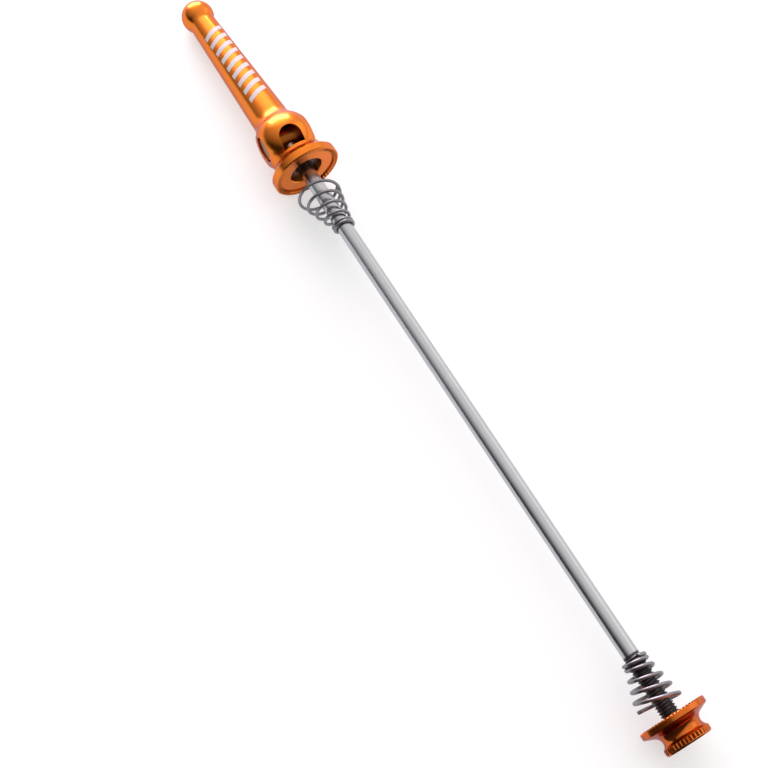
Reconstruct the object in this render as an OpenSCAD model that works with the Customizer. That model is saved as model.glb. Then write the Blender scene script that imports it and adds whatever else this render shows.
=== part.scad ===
// Quick release skewer for a bicycle hub, lying on a level surface with its lever folded down to it.
// Millimetres. The origin is the centre of the lever side clamp face, +X runs along the rod to the nut
// and +Z is up. The lever turns about an axis along Y.

/* [Rod] */
// Distance between the two clamp faces
clamp_gap = 175; // [150:1:200]
// Diameter of the plain rod
rod_d = 4.4; // [4.2:0.1:4.6]
// Outer diameter of the thread
thread_d = 4.9; // [4.8:0.05:5]
// Length of thread that shows on the inner side of the nut
thread_reach = 17; // [15:1:25]
// Length of the thread that holds the rod in the cross barrel
lever_thread_len = 7.5; // [6:0.5:8]
// Chamfer at both ends of the rod
rod_chamfer = 0.5; // [0.2:0.1:0.8]
// How far the rod stops short of the outer end of the nut
rod_short = 0.6; // [0.2:0.1:1.5]

/* [Lever] */
// Distance from the cup's clamp face back to the nose of the lever's head
nose_back = 3.75; // [3.5:0.05:4]
// Distance from the pivot to the centre of the end ball
lever_len = 53.5; // [40:0.5:70]
// Radius of the end ball
ball_r = 4.9; // [4:0.1:6]
// Radius of the shank where it leaves the head
shank_root_r = 5.85; // [5:0.05:6.2]
// Radius of the shank where it reaches the ball
shank_tip_r = 3.85; // [3:0.05:4.2]
// Radius of the fillet between the head and the shank
root_fillet_r = 6.5; // [1:0.1:8]
// Radius of the fillet between the shank and the ball
tip_fillet_r = 3; // [1:0.1:6]

/* [Cam head] */
// Radius of the ball shaped head
head_r = 8.65; // [8.2:0.05:9]
// Distance between the two flats on the head
head_width = 14.2; // [13:0.1:14.6]
// How far the head's centre lies from the pivot, which makes the cam
cam_offset = 0.9; // [0.5:0.05:1.1]
// Width of the slot for the rod
slot_w = 6.6; // [5.6:0.1:7]
// Turn of the lever towards its upper side that the slot allows
slot_over = 58; // [50:1:90]
// Turn of the lever towards its lower side that the slot allows
slot_under = 90; // [80:1:95]

/* [Cross barrel] */
// Diameter of the barrel that the lever turns on
barrel_d = 7.4; // [6.6:0.1:7.6]
// How far each end of the barrel sits below the flat on the head
barrel_recess = 0.5; // [0:0.1:1.5]
// Chamfer at the ends of the barrel
barrel_chamfer = 0.4; // [0.2:0.1:0.8]
// Radial clearance between the barrel and the bore in the head
pivot_clearance = 0.05; // [0.02:0.01:0.1]

/* [Cup] */
// Outer radius of the cup
cup_r = 10.1; // [9.5:0.1:11]
// Length of the cup from its clamp face to its back
cup_len = 5.7; // [5.3:0.1:5.8]
// Width of the cup's rim band
cup_rim_w = 2.2; // [1.6:0.1:2.6]
// Radius of the cup's collar
collar_r = 7.6; // [7.3:0.1:8]
// Length of the straight collar behind the cone
collar_len = 0.6; // [0.3:0.1:1]
// Chamfer round the edges of the cup and the nut
edge_chamfer = 0.25; // [0.15:0.05:0.5]
// Radius of the hole in the cup's clamp face
cup_hole_r = 4.9; // [4.5:0.1:5.2]
// Depth of the flat recess inside the ring of teeth
cup_recess = 0.5; // [0.3:0.1:0.8]
// Number of teeth on the cup's clamp face
cup_teeth = 56; // [40:1:64]

/* [Cam bush] */
// Radius of the bush
bush_r = 6.2; // [5.8:0.1:6.4]
// Distance from the clamp face to the bush's front
bush_front = 2.2; // [1.2:0.1:2.4]
// Radius of the bush's hole for the rod
bush_hole_r = 2.65; // [2.6:0.05:2.8]
// Radius of the dished seat for the head
seat_r = 11.3; // [10.5:0.1:12]
// Gap between the head and the middle of the seat
seat_gap = 0.4; // [0.3:0.05:0.5]

/* [Nut] */
// Outer radius of the nut's flange
nut_r = 9.1; // [8.5:0.1:10]
// Length of the nut
nut_len = 7.9; // [7:0.1:10]
// Width of the nut's rim band
nut_rim_w = 1.6; // [1.2:0.1:2]
// Radius of the nut at the bottom of its waist
waist_r = 5.4; // [5:0.1:6]
// Distance from the nut's clamp face to the middle of its waist
waist_x = 4.55; // [4:0.05:5]
// Radius of the round groove that makes the waist
waist_round = 1.9; // [1.5:0.1:2.4]
// Radius of the knurled grip
grip_r = 6.35; // [6:0.05:7]
// Width of the plain border at the grip's outer end
grip_border = 0.2; // [0.1:0.1:0.6]
// Number of ridges on the grip
grip_ridges = 36; // [24:1:48]
// Depth of the grooves between the ridges
grip_depth = 0.3; // [0.2:0.05:0.4]
// Chamfer at the outer end of the grip
grip_chamfer = 0.3; // [0.2:0.1:0.8]
// Number of teeth on the nut's clamp face
nut_teeth = 56; // [40:1:64]
// Depth of the flat recess inside the nut's ring of teeth
nut_recess = 0.5; // [0.3:0.1:0.8]

/* [Lock ring] */
// Outer radius of the lock ring in the end of the nut
lock_r = 4.1; // [3.6:0.1:4.4]
// Length of the lock ring
lock_len = 2; // [1.5:0.1:2.4]
// How far the lock ring sits inside the end of the nut
lock_recess = 0.3; // [0:0.1:0.6]
// Radial clearance of the thread and the lock ring
thread_clearance = 0.05; // [0.02:0.01:0.1]

/* [Springs] */
// Distance from the cup's clamp face to the lever side spring
lever_spring_gap = 5.2; // [2:0.1:12]
// Length of the lever side spring
lever_spring_len = 15.8; // [10:0.1:18]
// Outer radius of the lever side spring's big end
lever_spring_r = 7.4; // [5.5:0.1:7.6]
// Wire diameter of the lever side spring
lever_wire_d = 0.9; // [0.6:0.05:1]
// Turns of the lever side spring
lever_spring_turns = 6.4; // [4:0.1:8]
// Distance from the nut's clamp face to the nut side spring
nut_spring_gap = 2.7; // [2:0.1:8]
// Length of the nut side spring
nut_spring_len = 13.6; // [9:0.1:15]
// Outer radius of the nut side spring's big end
nut_spring_r = 6.8; // [5.5:0.1:7.6]
// Wire diameter of the nut side spring
nut_wire_d = 1; // [0.6:0.05:1.1]
// Turns of the nut side spring
nut_spring_turns = 5.6; // [4:0.1:8]
// Close turns at the small end of each spring
close_turns = 1.6; // [1:0.1:2]
// Space between a spring's small end and the rod, and between its close turns
grip_gap = 0.05; // [0.02:0.01:0.1]

/* [Teeth] */
// Depth of the grooves between the teeth
tooth_depth = 0.4; // [0.2:0.05:0.5]
// Width of each groove as a share of the tooth pitch
groove_share = 0.62; // [0.4:0.02:0.8]
// Radial width of each ring of teeth with its smooth lip
teeth_band = 1.6; // [1:0.1:1.8]
// Width of the smooth lip, outside the cup's teeth and inside the nut's
lip_w = 0.25; // [0.15:0.05:0.5]

/* [Hidden] */

$fn = 96;
gold = [0.93, 0.5, 0.08];
steel = [0.62, 0.63, 0.65];
brass = [0.72, 0.45, 0.2];
acetal = [0.05, 0.05, 0.05];
nylon = [0.85, 0.85, 0.82];

// Past the end of a cut, so that it leaves no skin
over = cup_recess;
rod_r = rod_d / 2;
thread_r = thread_d / 2;
barrel_r = barrel_d / 2;
bore_r = barrel_r + pivot_clearance;
pivot_back = head_r + nose_back;
flat_y = head_width / 2;
barrel_len = head_width - 2 * barrel_recess;

// The cup and the nut stand on their rims, so the surface below falls slightly from nut to cup.
// The lever turns down about the pivot until its ball meets that surface.
floor_slope = (cup_r - nut_r) / clamp_gap;
ball_drop = cup_r + floor_slope * pivot_back - ball_r * sqrt(1 + floor_slope * floor_slope);
droop_run = lever_len + floor_slope * cam_offset;
droop_rise = cam_offset - floor_slope * lever_len;
droop = asin(ball_drop / norm([droop_run, droop_rise])) - atan2(droop_rise, droop_run);

// Radius of the tapered shank at a distance from the pivot, and the change of radius with distance
shank_slope = (shank_root_r - shank_tip_r) / lever_len;
function shank_line(s) = shank_root_r - shank_slope * s;

// Centre of a fillet circle of radius f that touches the shank and a ball of radius r at distance c.
// side is 1 beyond the ball and -1 before it.
function fillet_centre(r, c, f, side) =
    let (k = shank_slope,
         b = shank_root_r + f * sqrt(1 + k * k),
         h = b * k + c,
         q = (1 + k * k) * (b * b + c * c - (r + f) * (r + f)),
         s = (h + side * sqrt(h * h - q)) / (1 + k * k))
    [b - k * s, s];

// Where a fillet circle at p touches a ball of radius r at distance c, and where it touches the shank
function on_ball(p, r, c, f) = [0, c] + (p - [0, c]) * r / (r + f);
function on_shank(p, f) = p - [1, shank_slope] * f / norm([1, shank_slope]);

// The fillet circles are cut a little deep, so that they cross the outline and don't only touch it
bite_share = 0.001;

// Half outline of the tapered shank and its two concave corners
module shank_outline() {
    root = fillet_centre(head_r, 0, root_fillet_r, 1);
    tip = fillet_centre(ball_r, lever_len, tip_fillet_r, -1);
    difference() {
        polygon([
            [0, 0],
            on_ball(root, head_r, 0, root_fillet_r),
            root,
            on_shank(root, root_fillet_r),
            on_shank(tip, tip_fillet_r),
            tip,
            on_ball(tip, ball_r, lever_len, tip_fillet_r),
            [0, lever_len]
        ]);
        translate(root) circle(root_fillet_r * (1 + bite_share));
        translate(tip) circle(tip_fillet_r * (1 + bite_share));
    }
}

// Half of the lever's turned outline: radius across, distance from the pivot upwards
module lever_outline() {
    intersection() {
        union() {
            circle(head_r);
            shank_outline();
            translate([0, lever_len]) circle(ball_r);
        }
        translate([0, -2 * head_r]) square([2 * head_r, lever_len + 4 * head_r]);
    }
}

// The slot is milled out by a round cutter that swings about the pivot
module head_slot() {
    far = 4 * head_r;
    for (a = [-slot_under, slot_over]) rotate([0, 180 - a, 0]) cylinder(h = far, r = slot_w / 2);
    rotate([90, 0, 0]) linear_extrude(slot_w, center = true) polygon([
        [0, 0],
        for (a = [-slot_under, (slot_over - slot_under) / 2, slot_over]) far * [sin(a), -cos(a)]
    ]);
}

// Cuts one flat on the side that side names, 1 or -1
module head_flat(side) {
    translate([-2 * head_r, side > 0 ? flat_y : -flat_y - head_r, -2 * head_r])
        cube([4 * head_r, head_r, 4 * head_r]);
}

module lever() {
    color(gold) translate([-pivot_back, 0, 0]) rotate([0, -90 - droop, 0]) difference() {
        translate([-cam_offset, 0, 0]) rotate_extrude() lever_outline();
        head_flat(1);
        head_flat(-1);
        head_slot();
        rotate([90, 0, 0]) cylinder(h = 4 * flat_y, r = bore_r, center = true);
    }
}

// A turned bar along Z with a chamfer at both ends
module chamfered_bar(r, len, c) {
    rotate_extrude() polygon([[0, 0], [r - c, 0], [r, c], [r, len - c], [r - c, len], [0, len]]);
}

module cross_barrel() {
    color(brass) translate([-pivot_back, 0, 0]) difference() {
        translate([0, barrel_len / 2, 0]) rotate([90, 0, 0])
            chamfered_bar(barrel_r, barrel_len, barrel_chamfer);
        rotate([0, 90, 0]) cylinder(h = 2 * barrel_d, r = thread_r, center = true);
    }
}

// The rod ends flush with the round of the barrel
rod_start = -pivot_back - sqrt(barrel_r * barrel_r - thread_r * thread_r);
rod_end = clamp_gap + nut_len - rod_short;
thread_start = clamp_gap - thread_reach;
lever_thread_end = rod_start + lever_thread_len;

module rod() {
    color(steel) rotate([0, 90, 0]) {
        translate([0, 0, rod_start]) chamfered_bar(thread_r, lever_thread_len, rod_chamfer / 2);
        translate([0, 0, lever_thread_end - rod_r])
            cylinder(h = thread_start - lever_thread_end + rod_d, r = rod_r);
        translate([0, 0, thread_start]) chamfered_bar(thread_r, rod_end - thread_start, rod_chamfer / 2);
    }
}

// The seat in the back of the cup and the bush, flatter than the head that rolls in it
module seat() {
    translate([-pivot_back + head_r + seat_gap - seat_r, 0, 0]) sphere(seat_r);
}

// Radial grooves from radius r1 to radius r2 that leave flat topped teeth on the face at x = 0.
// side is 1 where the face looks along +X and -1 where it looks along -X.
module face_grooves(r1, r2, count, side) {
    half_w = PI * r2 * groove_share / count;
    reach = 1 + over / tooth_depth;
    for (i = [0 : count - 1]) rotate([i * 360 / count, 0, 0]) translate([0, 0, r1]) linear_extrude(r2 - r1)
        polygon([[-side * tooth_depth, 0], [side * over, half_w * reach], [side * over, -half_w * reach]]);
}

// Half of the cup's outline: radius across, distance from the clamp face upwards, below zero behind it
module cup_outline() {
    cone_start = -cup_rim_w - edge_chamfer;
    cone_end = collar_len + edge_chamfer - cup_len;
    polygon([
        [cup_hole_r + edge_chamfer, -cup_recess],
        [cup_r - teeth_band, -cup_recess],
        [cup_r - teeth_band, 0],
        [cup_r - edge_chamfer, 0],
        [cup_r, -edge_chamfer],
        [cup_r, -cup_rim_w],
        [cup_r - edge_chamfer, cone_start],
        [collar_r, cone_end],
        [collar_r, edge_chamfer - cup_len],
        [collar_r - edge_chamfer, -cup_len],
        [bush_r, -cup_len],
        [bush_r, -bush_front],
        [cup_hole_r, -bush_front],
        [cup_hole_r, -cup_recess - edge_chamfer]
    ]);
}

// The cup's teeth start in the recess and stop short of the smooth lip
module cup() {
    color(gold) difference() {
        rotate([0, 90, 0]) rotate_extrude() cup_outline();
        seat();
        face_grooves(cup_r - 2 * teeth_band, cup_r - edge_chamfer - lip_w, cup_teeth, 1);
    }
}

module cam_bush() {
    color(acetal) difference() {
        translate([-cup_len, 0, 0]) rotate([0, 90, 0]) difference() {
            cylinder(h = cup_len - bush_front, r = bush_r);
            translate([0, 0, -over]) cylinder(h = cup_len + 2 * over, r = bush_hole_r);
        }
        seat();
    }
}

// Where a line from p touches a circle of radius r round c, on the side that is nearer to the axis
function touch_point(p, c, r) =
    let (v = c - p, run = sqrt(v * v - r * r), a = atan2(v[1], v[0]) + asin(r / norm(v)))
    p + run * [cos(a), sin(a)];

// Half of the nut's outline: radius across, distance from its clamp face upwards. A cone falls from the
// rim to the round waist, and the grip starts where the waist comes up again.
module nut_outline() {
    waist = [waist_r + waist_round, waist_x];
    rim_end = [nut_r - edge_chamfer, nut_rim_w + edge_chamfer];
    grip_start = waist + waist_round * [-1, 1] / sqrt(2);
    lock_end = nut_len - lock_len - lock_recess - thread_clearance;
    difference() {
        polygon([
            [thread_r + thread_clearance + edge_chamfer, nut_recess],
            [nut_r - teeth_band, nut_recess],
            [nut_r - teeth_band, 0],
            [nut_r - edge_chamfer, 0],
            [nut_r, edge_chamfer],
            [nut_r, nut_rim_w],
            rim_end,
            touch_point(rim_end, waist, waist_round),
            waist,
            grip_start,
            [grip_r, grip_start[1] + edge_chamfer / 2],
            [grip_r, nut_len - grip_chamfer],
            [grip_r - grip_chamfer, nut_len],
            [lock_r + thread_clearance, nut_len],
            [lock_r + thread_clearance, lock_end],
            [thread_r + thread_clearance, lock_end],
            [thread_r + thread_clearance, nut_recess + edge_chamfer]
        ]);
        translate(waist) circle(waist_round * (1 + bite_share));
    }
}

// Straight grooves along the grip, from the waist to the plain border
module grip_grooves() {
    half_w = PI * grip_r * groove_share / grip_ridges;
    reach = 1 + over / grip_depth;
    for (i = [0 : grip_ridges - 1]) rotate([0, 0, i * 360 / grip_ridges]) translate([0, 0, waist_x])
        linear_extrude(nut_len - grip_chamfer - grip_border - waist_x) polygon([
            [grip_r - grip_depth, 0],
            [grip_r + over, half_w * reach],
            [grip_r + over, -half_w * reach]
        ]);
}

// The nut's teeth start at the smooth lip and run out through the edge of the rim
module nut() {
    color(gold) translate([clamp_gap, 0, 0]) difference() {
        rotate([0, 90, 0]) difference() {
            rotate_extrude() nut_outline();
            grip_grooves();
        }
        face_grooves(nut_r - teeth_band + lip_w, nut_r + over, nut_teeth, -1);
    }
}

module nut_lock_ring() {
    color(nylon) translate([clamp_gap + nut_len - lock_recess - lock_len, 0, 0]) rotate([0, 90, 0])
        difference() {
            cylinder(h = lock_len, r = lock_r);
            translate([0, 0, -over]) cylinder(h = lock_len + 2 * over, r = thread_r + thread_clearance);
        }
}

// A conical spring along +Z, its big end at zero, wound left-handed. The wire is swept round by these
// functions.
wire_sides = 8;
rings_per_turn = 20;

function coil_radius(t, open, r0, r1) = t < open ? r0 + (r1 - r0) * t / open : r1;
function coil_height(t, open, pitch, wire) =
    t < open ? pitch * t : pitch * open + (wire + grip_gap) * (t - open);
function wire_ring(t, open, r0, r1, pitch, wire) =
    let (r = coil_radius(t, open, r0, r1), h = coil_height(t, open, pitch, wire))
    [for (k = [0 : wire_sides - 1])
        let (a = 360 * k / wire_sides, q = r + wire / 2 * cos(a))
        [q * cos(360 * t), -q * sin(360 * t), h + wire / 2 * (1 + sin(a))]];

module cone_spring(big_r, small_r, len, wire, turns) {
    open = turns - close_turns;
    r0 = big_r - wire / 2;
    r1 = small_r + grip_gap + wire / 2;
    pitch = (len - wire - (wire + grip_gap) * close_turns) / open;
    rings = round(turns * rings_per_turn);
    points = [for (i = [0 : rings]) each wire_ring(turns * i / rings, open, r0, r1, pitch, wire)];
    last = rings * wire_sides;
    faces = [
        [for (k = [wire_sides - 1 : -1 : 0]) k],
        [for (k = [0 : wire_sides - 1]) last + k],
        for (i = [0 : rings - 1]) for (k = [0 : wire_sides - 1])
            let (a = i * wire_sides + k, b = i * wire_sides + (k + 1) % wire_sides)
            each [[a, b, a + wire_sides], [b, b + wire_sides, a + wire_sides]]
    ];
    polyhedron(points, faces, convexity = rings_per_turn);
}

module lever_spring() {
    color(steel) translate([lever_spring_gap, 0, 0]) rotate([0, 90, 0])
        cone_spring(lever_spring_r, rod_r, lever_spring_len, lever_wire_d, lever_spring_turns);
}

module nut_spring() {
    color(steel) translate([clamp_gap - nut_spring_gap, 0, 0]) rotate([0, -90, 0])
        cone_spring(nut_spring_r, thread_r, nut_spring_len, nut_wire_d, nut_spring_turns);
}

lever();
cross_barrel();
cam_bush();
cup();
rod();
lever_spring();
nut_spring();
nut();
nut_lock_ring();
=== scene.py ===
from math import atan2, cos, pi, sin, sqrt, tan

import bpy
from mathutils import Matrix, Vector


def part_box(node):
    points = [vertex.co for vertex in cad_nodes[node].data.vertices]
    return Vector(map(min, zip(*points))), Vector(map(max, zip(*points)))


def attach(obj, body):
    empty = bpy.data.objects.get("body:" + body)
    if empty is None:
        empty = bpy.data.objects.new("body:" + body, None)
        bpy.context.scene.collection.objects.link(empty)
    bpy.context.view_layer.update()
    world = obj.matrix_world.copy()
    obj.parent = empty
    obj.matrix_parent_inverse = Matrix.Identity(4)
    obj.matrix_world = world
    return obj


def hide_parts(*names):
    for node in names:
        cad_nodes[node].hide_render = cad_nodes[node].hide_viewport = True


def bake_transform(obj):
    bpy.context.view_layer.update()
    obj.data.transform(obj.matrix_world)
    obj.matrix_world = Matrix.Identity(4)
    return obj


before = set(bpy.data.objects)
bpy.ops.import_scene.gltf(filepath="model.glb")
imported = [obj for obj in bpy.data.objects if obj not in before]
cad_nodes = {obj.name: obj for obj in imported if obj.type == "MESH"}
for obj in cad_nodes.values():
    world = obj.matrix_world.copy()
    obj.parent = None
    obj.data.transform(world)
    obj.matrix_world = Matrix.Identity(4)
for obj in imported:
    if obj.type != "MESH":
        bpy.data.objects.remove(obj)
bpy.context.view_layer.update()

MM = 0.001

# Camera, in the frame's millimetres and the picture's pixels
IMAGE_PX = 768
SENSOR_WIDTH = 36
FOCAL_PX = 1357
CAMERA_PLACE = Vector((174.8, -93.8, 332.2)) * MM
CAMERA_VIEW = Vector((-0.3039, 0.2201, -0.9269))
CAMERA_RIGHT = Vector((0.5195, 0.8539, 0.0324))

# Sizes that the frame gives
cup_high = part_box("cup")[1]
nut_low, nut_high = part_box("nut")
rod_low, rod_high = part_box("rod")
lever_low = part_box("lever")[0]
barrel_low, barrel_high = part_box("cross_barrel")
CUP_R = cup_high.z
NUT_R = nut_high.z
CLAMP_GAP = nut_low.x
PIVOT_X = (barrel_low.x + barrel_high.x) / 2

# Rod, with places of the rings of points along its plain part
ROD_R = 2.2 * MM
ROD_SIDES = 48
ROD_END_RING = 0.3 * MM
ROD_RINGS = (-2 * MM, 60 * MM, 120 * MM)

# Thread: crest and flank are shares of half a pitch, and the rod's tip narrows to a share of its radius
THREAD_R = rod_high.z
THREAD_PITCH = 0.8 * MM
THREAD_DEPTH = 0.43 * MM
THREAD_START = CLAMP_GAP - 17 * MM
THREAD_FADE = 1.2 * MM
THREAD_CREST = 0.12
THREAD_FLANK = 0.72
THREAD_STEPS = 12
TIP_LEN = 0.4 * MM
TIP_SHARE = 0.86

# Springs: the wire's diameter, its turns, the close ones among them at the small end, the turns trimmed
# off the big end, and the angle in degrees where the wire starts. Each hangs a little crooked: its big
# end leans along the rod by a share of the place across, and sits off the rod's axis.
LEVER_COIL = {
    "wire": 0.9 * MM,
    "turns": 6.4,
    "close_turns": 1.75,
    "trim": 0.24,
    "start": 73,
    "lean": (0.115, -0.292),
    "sag": (-0.88 * MM, -0.15 * MM),
}
NUT_COIL = {
    "wire": 1.0 * MM,
    "turns": 5.6,
    "close_turns": 1.6,
    "trim": 0.0,
    "start": 221,
    "lean": (0.209, 0.085),
    "sag": (-0.86 * MM, -0.21 * MM),
}
WIRE_SIDES = 14
RINGS_PER_TURN = 40

# Small end of each spring: its share of the lean, and how far the middle of the wire lies off the rod's
# surface, as a share of the wire's diameter
SMALL_END_LEAN = 0.3
SMALL_END_LIFT = 0.6

# Lever, and its print of plain slanted bars: distances from the pivot and across the lever
LEVER_LEN = 53.5 * MM
CAM_OFFSET = 0.9 * MM
SHANK_ROOT_R = 5.85 * MM
SHANK_TIP_R = 3.85 * MM
BALL_R = 4.9 * MM
PRINT_START = 15.0 * MM
PRINT_END = 45.5 * MM
PRINT_HALF = 3.1 * MM
PRINT_SLANT = 22
BAR_COUNT = 9
BAR_SHARE = 0.46
BAR_CELLS_ACROSS = 12
BAR_CELLS_ALONG = 2
PRINT_LIFT = 0.03 * MM
PRINT_SINK = 0.05 * MM

# Dyes of the anodised pieces, and the reach of the painted shade that darkens their hollows and creases
GOLD_DEEP = (0.78, 0.19, 0.008)
GOLD_LIGHT = (0.86, 0.23, 0.012)
# The nut's dye is a darker copy of the gold: painted shade for the dimmer light at the nut's end
NUT_SHADED_DEEP = (0.58, 0.115, 0.004)
NUT_SHADED_LIGHT = (0.68, 0.15, 0.006)
GROOVE_SHADE_REACH = 0.8 * MM

# Part of its range that a noise mostly stays in
NOISE_SPAN = (0.3, 0.7)

# Floor, in metres. It slopes from the cup's rim to the nut's, and turns up at its far edges.
FLOOR_SLOPE = (CUP_R - NUT_R) / CLAMP_GAP
FLOOR_HALF = 2.5
FLOOR_RIM = 0.3
FLOOR_GLOW = 0.53

# Dark boards out of the picture. The long one lies along the rod on the near side, in metres. The
# leaning one follows the view below the picture, in pixels, up to a share of the way to the camera.
LONG_BOARD_ENDS = (0.04, 0.5)
LONG_BOARD_Y = -0.16
LONG_BOARD_TOP = 0.08
LEANING_BOARD_SPAN = (300, 1000)
LEANING_BOARD_EDGE = 800
LEANING_BOARD_SHARE = 0.6

# Light tent: its strength grows towards an axis over a span of the cosine to it, and a halo is added
TENT_COLOUR = (1.0, 0.95, 0.92)
TENT_AXIS = (-0.45, 0.55, 0.70)
TENT_SPAN = (-0.25, 0.85)
TENT_STRENGTH = (0.02, 1.05)
HALO_AXIS = (-0.93, 0.18, 0.30)
HALO_SPAN = (0.80, 1.0)
HALO_STRENGTH = (0.0, 2.5)


def new_mesh(name, points, faces, smooth=True):
    mesh = bpy.data.meshes.new(name)
    mesh.from_pydata([tuple(p) for p in points], [], faces)
    mesh.update()
    for face in mesh.polygons:
        face.use_smooth = smooth
    piece = bpy.data.objects.new(name, mesh)
    bpy.context.scene.collection.objects.link(piece)
    return piece


def tube(rings):
    """Points and faces of a closed tube through rings of points, with flat ends."""
    sides = len(rings[0])
    points = [p for ring in rings for p in ring]
    faces = []
    for i in range(len(rings) - 1):
        for k in range(sides):
            a = i * sides + k
            b = i * sides + (k + 1) % sides
            faces.append((a, b, b + sides, a + sides))
    last = (len(rings) - 1) * sides
    faces.append(tuple(reversed(range(sides))))
    faces.append(tuple(range(last, last + sides)))
    return points, faces


# Materials

def new_material(name):
    material = bpy.data.materials.new(name)
    material.use_nodes = True
    tree = material.node_tree
    return material, tree, tree.nodes["Principled BSDF"]


def object_place(tree, scale):
    """Object coordinates stretched by scale, in waves per metre along X, Y and Z."""
    place = tree.nodes.new("ShaderNodeTexCoord")
    stretch = tree.nodes.new("ShaderNodeMapping")
    stretch.inputs["Scale"].default_value = scale
    tree.links.new(place.outputs["Object"], stretch.inputs["Vector"])
    return stretch.outputs["Vector"]


def noise(tree, scale, detail, rough=0.5):
    texture = tree.nodes.new("ShaderNodeTexNoise")
    texture.inputs["Scale"].default_value = 1.0
    texture.inputs["Detail"].default_value = detail
    texture.inputs["Roughness"].default_value = rough
    tree.links.new(object_place(tree, scale), texture.inputs["Vector"])
    return texture.outputs["Fac"]


def ramp(tree, value, span, results):
    """Maps value from the ends of span to the two results, held beyond them."""
    spread = tree.nodes.new("ShaderNodeMapRange")
    spread.inputs["From Min"].default_value = span[0]
    spread.inputs["From Max"].default_value = span[1]
    spread.inputs["To Min"].default_value = results[0]
    spread.inputs["To Max"].default_value = results[1]
    tree.links.new(value, spread.inputs["Value"])
    return spread.outputs["Result"]


def mixed(tree, factor, first, second):
    mix = tree.nodes.new("ShaderNodeMix")
    mix.data_type = "RGBA"
    tree.links.new(factor, mix.inputs["Factor"])
    mix.inputs["A"].default_value = (*first, 1)
    mix.inputs["B"].default_value = (*second, 1)
    return mix.outputs["Result"]


def roughen(tree, shader, grain, rough):
    tree.links.new(ramp(tree, grain, NOISE_SPAN, rough), shader.inputs["Roughness"])


def bump(tree, shader, height, strength, distance, edge=0.0):
    """Bumps the surface, over a rounded edge of radius edge where edge is above zero."""
    relief = tree.nodes.new("ShaderNodeBump")
    relief.inputs["Strength"].default_value = strength
    relief.inputs["Distance"].default_value = distance
    tree.links.new(height, relief.inputs["Height"])
    if edge > 0:
        bevel = tree.nodes.new("ShaderNodeBevel")
        bevel.samples = 6
        bevel.inputs["Radius"].default_value = edge
        tree.links.new(bevel.outputs["Normal"], relief.inputs["Normal"])
    tree.links.new(relief.outputs["Normal"], shader.inputs["Normal"])


def anodised(name, deep, light, marks):
    """Dyed anodised aluminium, with painted shade in its hollows and creases, and faint tool marks."""
    material, tree, shader = new_material(name)
    turning = noise(tree, marks, detail=2.0, rough=0.6)
    cloud = noise(tree, (90, 90, 90), detail=2.0)
    # Painted shade: the dye is darkened wherever other surfaces lie near, in hollows, creases and between
    # the teeth
    painted_groove_shade = tree.nodes.new("ShaderNodeAmbientOcclusion")
    painted_groove_shade.samples = 6
    painted_groove_shade.inputs["Distance"].default_value = GROOVE_SHADE_REACH
    tree.links.new(mixed(tree, cloud, deep, light), painted_groove_shade.inputs["Color"])
    tree.links.new(painted_groove_shade.outputs["Color"], shader.inputs["Base Color"])
    shader.inputs["Metallic"].default_value = 1.0
    shader.inputs["Specular Tint"].default_value = (0.42, 0.24, 0.24, 1)
    shader.inputs["Coat Weight"].default_value = 0.5
    shader.inputs["Coat Roughness"].default_value = 0.16
    shader.inputs["Coat IOR"].default_value = 1.5
    roughen(tree, shader, turning, (0.18, 0.26))
    bump(tree, shader, turning, strength=0.12, distance=0.02 * MM, edge=0.12 * MM)
    return material


def drawn_steel(name, dark, light, streaks, rough):
    """Bare steel with streaks along the way that it was drawn or rolled."""
    material, tree, shader = new_material(name)
    drawing = noise(tree, streaks, detail=4.0, rough=0.6)
    blotch = noise(tree, (250, 250, 250), detail=3.0)
    tree.links.new(mixed(tree, blotch, dark, light), shader.inputs["Base Color"])
    shader.inputs["Metallic"].default_value = 1.0
    shader.inputs["Specular Tint"].default_value = (0.82, 0.83, 0.86, 1)
    roughen(tree, shader, drawing, rough)
    bump(tree, shader, drawing, strength=0.15, distance=0.02 * MM)
    return material


def turned_brass(name, dark, light):
    """Brass with fine turning marks round Y."""
    material, tree, shader = new_material(name)
    turning = noise(tree, (300, 9000, 300), detail=2.0, rough=0.6)
    tree.links.new(mixed(tree, turning, dark, light), shader.inputs["Base Color"])
    shader.inputs["Metallic"].default_value = 1.0
    roughen(tree, shader, turning, (0.25, 0.38))
    bump(tree, shader, turning, strength=0.2, distance=0.02 * MM, edge=0.1 * MM)
    return material


def moulded_plastic(name, dark, light, rough):
    """Plastic, ink or cloth with a fine even grain."""
    material, tree, shader = new_material(name)
    grain = noise(tree, (2500, 2500, 2500), detail=3.0)
    tree.links.new(mixed(tree, grain, dark, light), shader.inputs["Base Color"])
    roughen(tree, shader, grain, (rough - 0.05, rough + 0.08))
    bump(tree, shader, grain, strength=0.15, distance=0.03 * MM, edge=0.08 * MM)
    return material


def floor_paper(name, glow):
    """Pale paper that is seen, and mirrored, a little lighter than the light on it makes it."""
    material, tree, shader = new_material(name)
    grain = noise(tree, (900, 900, 900), detail=2.0)
    paper = mixed(tree, grain, (0.50, 0.52, 0.53), (0.52, 0.54, 0.55))
    tree.links.new(paper, shader.inputs["Base Color"])
    shader.inputs["Roughness"].default_value = 0.4
    shader.inputs["Specular IOR Level"].default_value = 0.5
    shader.inputs["Emission Color"].default_value = (1, 1, 1, 1)
    rays = tree.nodes.new("ShaderNodeLightPath")
    seen = rays.outputs["Is Camera Ray"]
    for ray in ("Is Glossy Ray", "Is Transmission Ray"):
        either = tree.nodes.new("ShaderNodeMath")
        either.operation = "MAXIMUM"
        tree.links.new(seen, either.inputs[0])
        tree.links.new(rays.outputs[ray], either.inputs[1])
        seen = either.outputs["Value"]
    tree.links.new(ramp(tree, seen, (0.0, 1.0), (0.0, glow)), shader.inputs["Emission Strength"])
    return material


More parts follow.
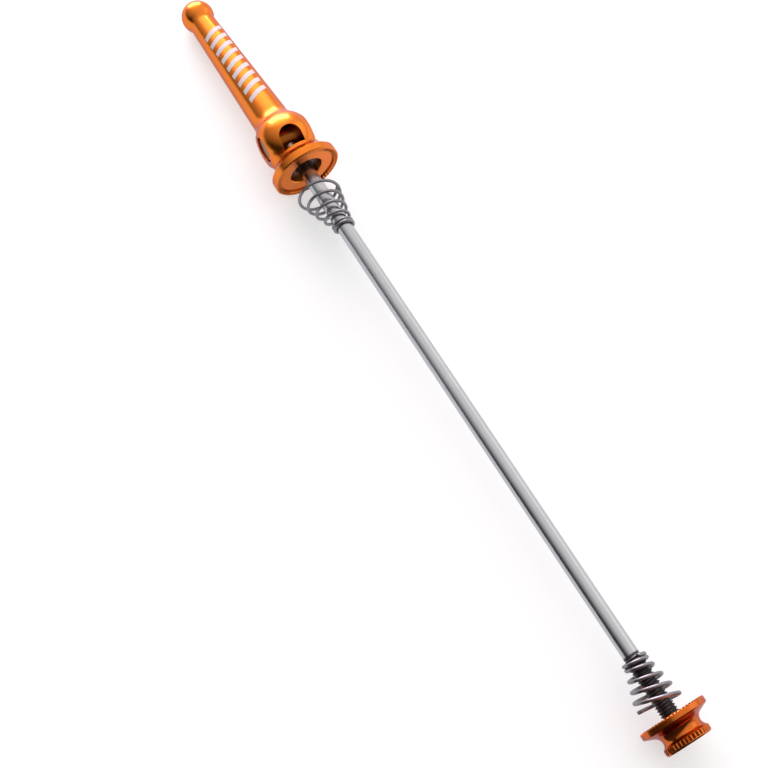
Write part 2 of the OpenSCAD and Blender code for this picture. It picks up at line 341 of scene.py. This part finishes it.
gold_turned = anodised("gold_turned", GOLD_DEEP, GOLD_LIGHT, marks=(9000, 300, 300))
gold_plain = anodised("gold_plain", GOLD_DEEP, GOLD_LIGHT, marks=(600, 600, 600))
# The nut's gold is darkened as painted shade
gold_nut_shaded = anodised("gold_nut_shaded", NUT_SHADED_DEEP, NUT_SHADED_LIGHT, marks=(600, 600, 600))
rod_steel = drawn_steel("rod_steel", dark=(0.46, 0.48, 0.51), light=(0.54, 0.55, 0.57),
                        streaks=(120, 2600, 2600), rough=(0.18, 0.30))
# The thread wears a far darker copy of the rod's steel: painted shade over the thread
thread_steel_shaded = drawn_steel("thread_steel_shaded", dark=(0.06, 0.065, 0.07), light=(0.13, 0.135, 0.14),
                           streaks=(900, 900, 900), rough=(0.28, 0.40))
wire_steel = drawn_steel("wire_steel", dark=(0.22, 0.22, 0.24), light=(0.31, 0.31, 0.33),
                         streaks=(1500, 1500, 1500), rough=(0.28, 0.40))
# The brass is painted dark red-brown: painted shade inside the lever's slot, with a painted reflection of
# the slot's orange walls
barrel_brass = turned_brass("barrel_brass", dark=(0.24, 0.075, 0.012), light=(0.33, 0.11, 0.02))
# The bush is painted blacker than plain black plastic: partly its own black, partly painted shade of the
# cup's bore
black_acetal = moulded_plastic("black_acetal", dark=(0.003, 0.003, 0.003), light=(0.007, 0.007, 0.007),
                               rough=0.30)
white_nylon = moulded_plastic("white_nylon", dark=(0.74, 0.74, 0.70), light=(0.80, 0.80, 0.77), rough=0.45)
board_cloth = moulded_plastic("board_cloth", dark=(0.006, 0.005, 0.004), light=(0.012, 0.010, 0.008),
                              rough=0.9)
print_ink = moulded_plastic("print_ink", dark=(0.56, 0.55, 0.57), light=(0.64, 0.63, 0.65), rough=0.50)


def dress(node, material):
    mesh = cad_nodes[node].data
    mesh.materials.clear()
    mesh.materials.append(material)


dress("lever", gold_turned)
dress("cup", gold_plain)
dress("nut", gold_nut_shaded)
dress("cross_barrel", barrel_brass)
dress("cam_bush", black_acetal)
dress("nut_lock_ring", white_nylon)


# Rod with its rolled thread

def thread_height(x, turn):
    """Share of the thread's depth cut away at x, at a turn from 0 to 1 round the rod. Right-hand."""
    phase = (x / THREAD_PITCH - turn) % 1.0
    flank = abs(2 * phase - 1)
    return min(1.0, max(0.0, (flank - THREAD_CREST) / THREAD_FLANK))


def rod_radius(x, turn):
    """The plain rod swells into the thread, whose crests stand above it and roots lie below it."""
    if x < THREAD_START:
        return ROD_R
    share = min(1.0, (x - THREAD_START) / THREAD_FADE)
    cut = THREAD_R - THREAD_DEPTH * thread_height(x, turn)
    tip = min(1.0, max(0.0, (rod_high.x - x) / TIP_LEN))
    return (ROD_R + (cut - ROD_R) * share) * (TIP_SHARE + (1 - TIP_SHARE) * tip)


def make_rod():
    places = [rod_low.x, rod_low.x + ROD_END_RING, PIVOT_X, *ROD_RINGS]
    x = THREAD_START - THREAD_PITCH
    while x < rod_high.x:
        places.append(x)
        x += THREAD_PITCH / THREAD_STEPS
    places.append(rod_high.x)
    rings = []
    for x in places:
        ring = []
        for k in range(ROD_SIDES):
            turn = k / ROD_SIDES
            r = rod_radius(x, turn)
            ring.append(Vector((x, r * cos(2 * pi * turn), r * sin(2 * pi * turn))))
        rings.append(ring)
    rod = new_mesh("threaded_rod", *tube(rings))
    rod.data.materials.append(rod_steel)
    rod.data.materials.append(thread_steel_shaded)
    # Faces past the thread's start take the darker steel, which is painted shade
    for face in rod.data.polygons:
        face.material_index = 1 if face.center.x > THREAD_START else 0
    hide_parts("rod")
    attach(rod, "skewer")


make_rod()


# Springs

def make_spring(name, node, big_x, small_x, rod_r, wire, turns, close_turns, trim, start, lean, sag):
    """A conical spring from its big end to its small end, wound left-handed round the rod."""
    low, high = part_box(node)
    way = 1 if small_x > big_x else -1
    open_turns = turns - close_turns
    big_r = (high.y - low.y) / 2 - wire / 2
    small_r = rod_r + wire * SMALL_END_LIFT
    pitch = (abs(small_x - big_x) - wire * (1 + close_turns)) / open_turns

    def centre(t):
        """The middle of the wire, t turns from the untrimmed big end."""
        loose = 1 - min(1.0, t / open_turns)
        r = small_r + (big_r - small_r) * loose
        along = wire / 2 + pitch * min(t, open_turns) + wire * max(0.0, t - open_turns)
        angle = start * pi / 180 - way * 2 * pi * t
        y = r * cos(angle)
        z = r * sin(angle)
        crooked = SMALL_END_LEAN + (1 - SMALL_END_LEAN) * loose
        x = big_x + way * along + (lean[0] * y + lean[1] * z) * crooked
        return Vector((x, y + sag[0] * loose, z + sag[1] * loose))

    steps = int((turns - trim) * RINGS_PER_TURN)
    rings = []
    for i in range(steps + 1):
        t = trim + (turns - trim) * i / steps
        here = centre(t)
        along = (centre(t + 0.01) - centre(t - 0.01)).normalized()
        out = Vector((0, here.y, here.z)).normalized()
        out = (out - along * out.dot(along)).normalized()
        side = along.cross(out)
        ring = []
        for k in range(WIRE_SIDES):
            angle = 2 * pi * k / WIRE_SIDES
            ring.append(here + (out * cos(angle) + side * sin(angle)) * wire / 2)
        rings.append(ring)
    spring = new_mesh(name, *tube(rings))
    spring.data.materials.append(wire_steel)
    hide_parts(node)
    return spring


spring_low, spring_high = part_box("lever_spring")
lever_coil = make_spring("lever_coil", "lever_spring", spring_low.x, spring_high.x, ROD_R, **LEVER_COIL)
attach(lever_coil, "skewer")

spring_low, spring_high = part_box("nut_spring")
nut_coil = make_spring("nut_coil", "nut_spring", spring_high.x, spring_low.x, THREAD_R, **NUT_COIL)
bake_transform(nut_coil)


# Print on the lever

def lever_droop():
    """How far the lever's axis falls below the rod's, from the place of its ball."""
    run = PIVOT_X - (lever_low.x + BALL_R)
    fall = -(lever_low.z + BALL_R)
    return atan2(fall, run) - atan2(CAM_OFFSET, LEVER_LEN)


def bar_faces(start):
    """Faces of one closed bar, whose points start at start: the lower layer's rows, then the upper's."""
    row = BAR_CELLS_ACROSS + 1
    layer = row * (BAR_CELLS_ALONG + 1)
    faces = []
    for i in range(BAR_CELLS_ALONG):
        for k in range(BAR_CELLS_ACROSS):
            a = start + i * row + k
            faces.append((a, a + 1, a + row + 1, a + row))
            a += layer
            faces.append((a, a + row, a + row + 1, a + 1))
    edge = list(range(row)) + [row * i + BAR_CELLS_ACROSS for i in range(1, BAR_CELLS_ALONG + 1)]
    edge += [row * BAR_CELLS_ALONG + k for k in range(BAR_CELLS_ACROSS - 1, -1, -1)]
    edge += [row * i for i in range(BAR_CELLS_ALONG - 1, 0, -1)]
    for a, b in zip(edge, edge[1:] + edge[:1]):
        faces.append((start + a, start + a + layer, start + b + layer, start + b))
    return faces


def make_print():
    """A row of equal slanted bars along the top of the lever's shank."""
    droop = lever_droop()
    up = Vector((-sin(droop), 0, cos(droop)))
    along = Vector((-cos(droop), 0, -sin(droop)))
    pivot = Vector((PIVOT_X, 0, 0))
    slope = (SHANK_ROOT_R - SHANK_TIP_R) / LEVER_LEN

    def place(distance, y, lift):
        r = SHANK_ROOT_R - slope * distance + lift
        return pivot + along * distance + Vector((0, y, 0)) + up * (sqrt(r * r - y * y) - CAM_OFFSET)

    points = []
    faces = []
    step = (PRINT_END - PRINT_START) / BAR_COUNT
    for bar in range(BAR_COUNT):
        faces += bar_faces(len(points))
        for lift in (-PRINT_SINK, PRINT_LIFT):
            for i in range(BAR_CELLS_ALONG + 1):
                for k in range(BAR_CELLS_ACROSS + 1):
                    y = PRINT_HALF * (2 * k / BAR_CELLS_ACROSS - 1)
                    shift = y * tan(PRINT_SLANT * pi / 180)
                    distance = PRINT_START + step * (bar + BAR_SHARE * i / BAR_CELLS_ALONG) + shift
                    points.append(place(distance, y, lift))
    bars = new_mesh("lever_print", points, faces, smooth=False)
    bars.data.materials.append(print_ink)
    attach(bars, "lever")


make_print()


# Floor, light and camera

def make_floor():
    """A wide paper floor, turned up at its far edges so that no view looks past it."""
    corners = [(-1, -1), (1, -1), (1, 1), (-1, 1)]
    points = []
    for rise in (0, FLOOR_RIM):
        for x, y in corners:
            points.append((x * FLOOR_HALF, y * FLOOR_HALF, FLOOR_SLOPE * x * FLOOR_HALF - CUP_R + rise))
    faces = [(0, 1, 2, 3)] + [(k, (k + 1) % 4, (k + 1) % 4 + 4, k + 4) for k in range(4)]
    paper = new_mesh("floor", points, faces, smooth=False)
    paper.data.materials.append(floor_paper("floor_paper", FLOOR_GLOW))


def make_board(name, corners):
    """A black board out of the picture that only the metal sees, as a dark band."""
    board = new_mesh(name, corners, [(0, 1, 2, 3)], smooth=False)
    board.data.materials.append(board_cloth)
    board.visible_camera = False
    board.visible_diffuse = False
    board.visible_shadow = False


def make_long_board():
    feet = [(x, LONG_BOARD_Y, -CUP_R) for x in LONG_BOARD_ENDS]
    tops = [(x, y, LONG_BOARD_TOP) for x, y, z in reversed(feet)]
    make_board("long_board", feet + tops)


def make_leaning_board():
    """Stands just below the picture's lower edge, and leans with the view from the floor to the camera."""
    view, right, up = camera_axes()
    feet = []
    for across in LEANING_BOARD_SPAN:
        ray = view + (right * (across - IMAGE_PX / 2) - up * (LEANING_BOARD_EDGE - IMAGE_PX / 2)) / FOCAL_PX
        feet.append(CAMERA_PLACE + ray * ((-CUP_R - CAMERA_PLACE.z) / ray.z))
    tops = [foot.lerp(CAMERA_PLACE, LEANING_BOARD_SHARE) for foot in reversed(feet)]
    make_board("leaning_board", feet + tops)


def light_towards(tree, axis, span, strength):
    """A strength that changes with the cosine between the view and an axis, over a span of it."""
    place = tree.nodes.new("ShaderNodeTexCoord")
    cosine = tree.nodes.new("ShaderNodeVectorMath")
    cosine.operation = "DOT_PRODUCT"
    cosine.inputs[1].default_value = Vector(axis).normalized()
    tree.links.new(place.outputs["Generated"], cosine.inputs[0])
    return ramp(tree, cosine.outputs["Value"], span, strength)


def make_world():
    """A light tent: dim low down on the near side, bright overhead, with a halo behind the lever."""
    world = bpy.data.worlds.new("tent")
    bpy.context.scene.world = world
    world.use_nodes = True
    tree = world.node_tree
    total = tree.nodes.new("ShaderNodeMath")
    total.operation = "ADD"
    tree.links.new(light_towards(tree, TENT_AXIS, TENT_SPAN, TENT_STRENGTH), total.inputs[0])
    tree.links.new(light_towards(tree, HALO_AXIS, HALO_SPAN, HALO_STRENGTH), total.inputs[1])
    background = tree.nodes["Background"]
    background.inputs["Color"].default_value = (*TENT_COLOUR, 1)
    tree.links.new(total.outputs["Value"], background.inputs["Strength"])


def make_lamp(name, place, target, size, power, colour):
    lamp = bpy.data.lights.new(name, "AREA")
    lamp.shape = "RECTANGLE"
    lamp.size, lamp.size_y = size
    lamp.energy = power
    lamp.color = colour
    piece = bpy.data.objects.new(name, lamp)
    piece.location = place
    piece.rotation_euler = (Vector(target) - Vector(place)).to_track_quat("-Z", "Y").to_euler()
    bpy.context.scene.collection.objects.link(piece)


def camera_axes():
    view = CAMERA_VIEW.normalized()
    right = (CAMERA_RIGHT - view * CAMERA_RIGHT.dot(view)).normalized()
    return view, right, right.cross(view)


def make_camera():
    camera = bpy.data.cameras.new("camera")
    camera.sensor_width = SENSOR_WIDTH
    camera.lens = FOCAL_PX * SENSOR_WIDTH / IMAGE_PX
    piece = bpy.data.objects.new("camera", camera)
    view, right, up = camera_axes()
    turn = Matrix((right, up, -view)).transposed().to_4x4()
    piece.matrix_world = Matrix.Translation(CAMERA_PLACE) @ turn
    bpy.context.scene.collection.objects.link(piece)
    bpy.context.scene.camera = piece


make_floor()
make_long_board()
make_leaning_board()
make_world()
make_lamp("end_box", place=(-0.78, 0.16, 0.20), target=(0, 0, 0), size=(0.70, 0.34), power=7.5,
          colour=(1.0, 0.70, 0.88))
make_lamp("far_box", place=(0.10, 0.75, 0.35), target=(0.06, 0, 0), size=(0.9, 0.5), power=0.6,
          colour=(1, 1, 1))
make_camera()

bpy.context.scene.view_settings.view_transform = "Standard"
